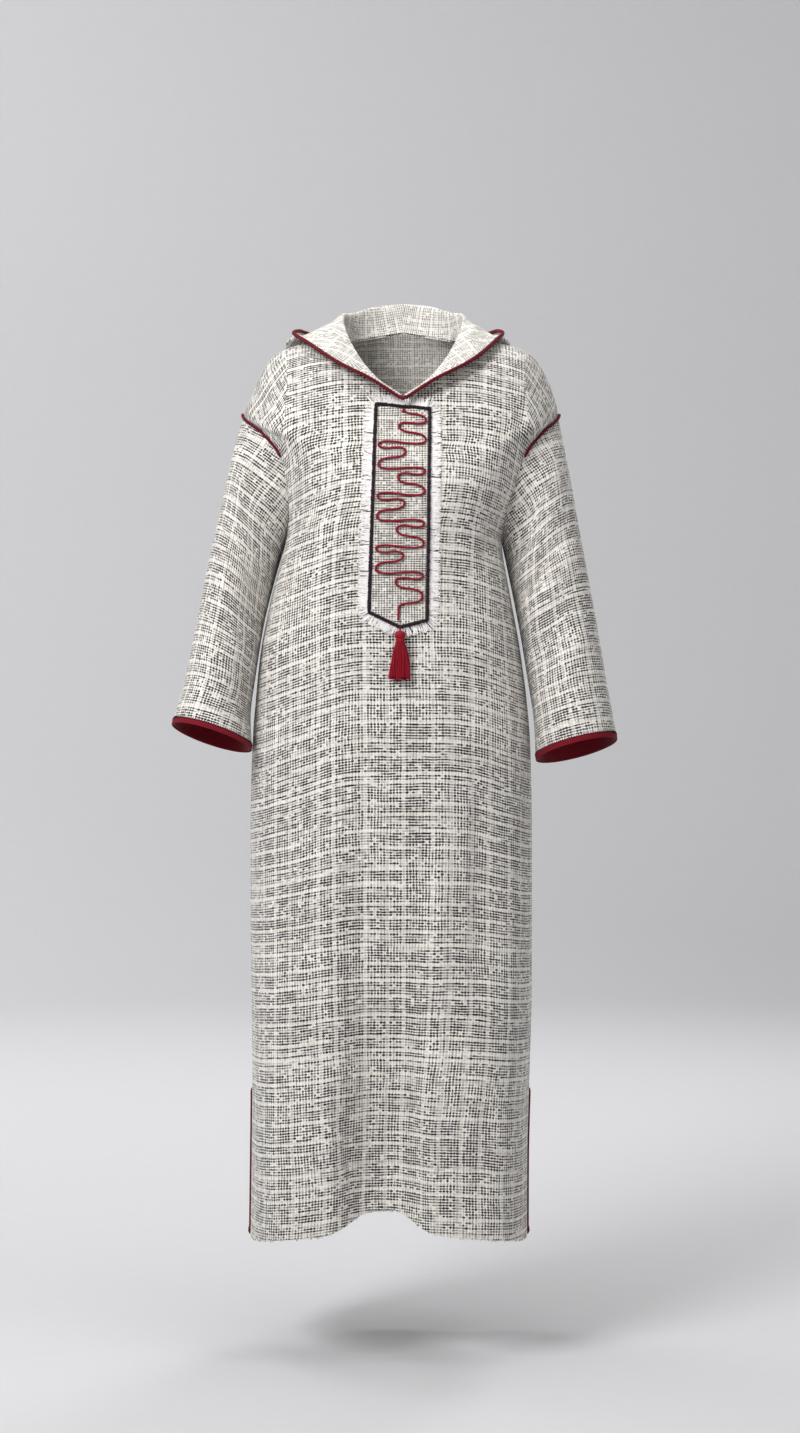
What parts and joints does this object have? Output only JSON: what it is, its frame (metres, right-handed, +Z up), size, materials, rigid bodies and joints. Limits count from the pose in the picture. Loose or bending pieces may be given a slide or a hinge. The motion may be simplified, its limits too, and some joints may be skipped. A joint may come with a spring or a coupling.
{
  "type": "hooded djellaba robe, as worn",
  "caption": "Long loose hooded robe of flecked tweed, held in its worn hollow form, with piped seams, crimson-faced cuffs, side slits, and a fringed chest placket with couched cord and a tassel",
  "frame": {"origin": "midway between the shoulders at the height of the neck, where the wearer holds the robe up", "axes": "+Z up along the robe's length, -Y to its front, +X to the right of a viewer in front"},
  "size_m": [0.6355, 0.3494, 1.3505],
  "materials": {
    "tweed": "open slubby plain weave of off-white and black yarn, matte",
    "piping": "satin-covered cord, soft sheen",
    "cuff": "crimson satin weave, soft sheen",
    "placket_cloth": "open plain weave with small dark flecks, matte",
    "border": "crocheted cord, matte",
    "couched_cord": "twisted cord, soft sheen",
    "fringe": "loose yarn ends, matte",
    "tassel": "twisted viscose yarn, soft sheen"
  },
  "bodies": {
    "root": {"body_front": "tweed", "body_back": "tweed", "sleeve_left": "tweed", "sleeve_right": "tweed", "hood_left": "tweed", "hood_right": "tweed", "hood_piping": "piping", "armhole_piping_left": "piping", "armhole_piping_right": "piping", "slit_piping_front_left": "piping", "slit_piping_front_right": "piping", "slit_piping_back_left": "piping", "slit_piping_back_right": "piping", "cuff_facing_left": "cuff", "cuff_facing_right": "cuff", "cuff_binding_left": "cuff", "cuff_binding_right": "cuff", "placket_panel": "placket_cloth", "placket_border": "border", "placket_cord": "couched_cord", "placket_fringe": "fringe", "tassel": "tassel"}
  },
  "joints": []
}
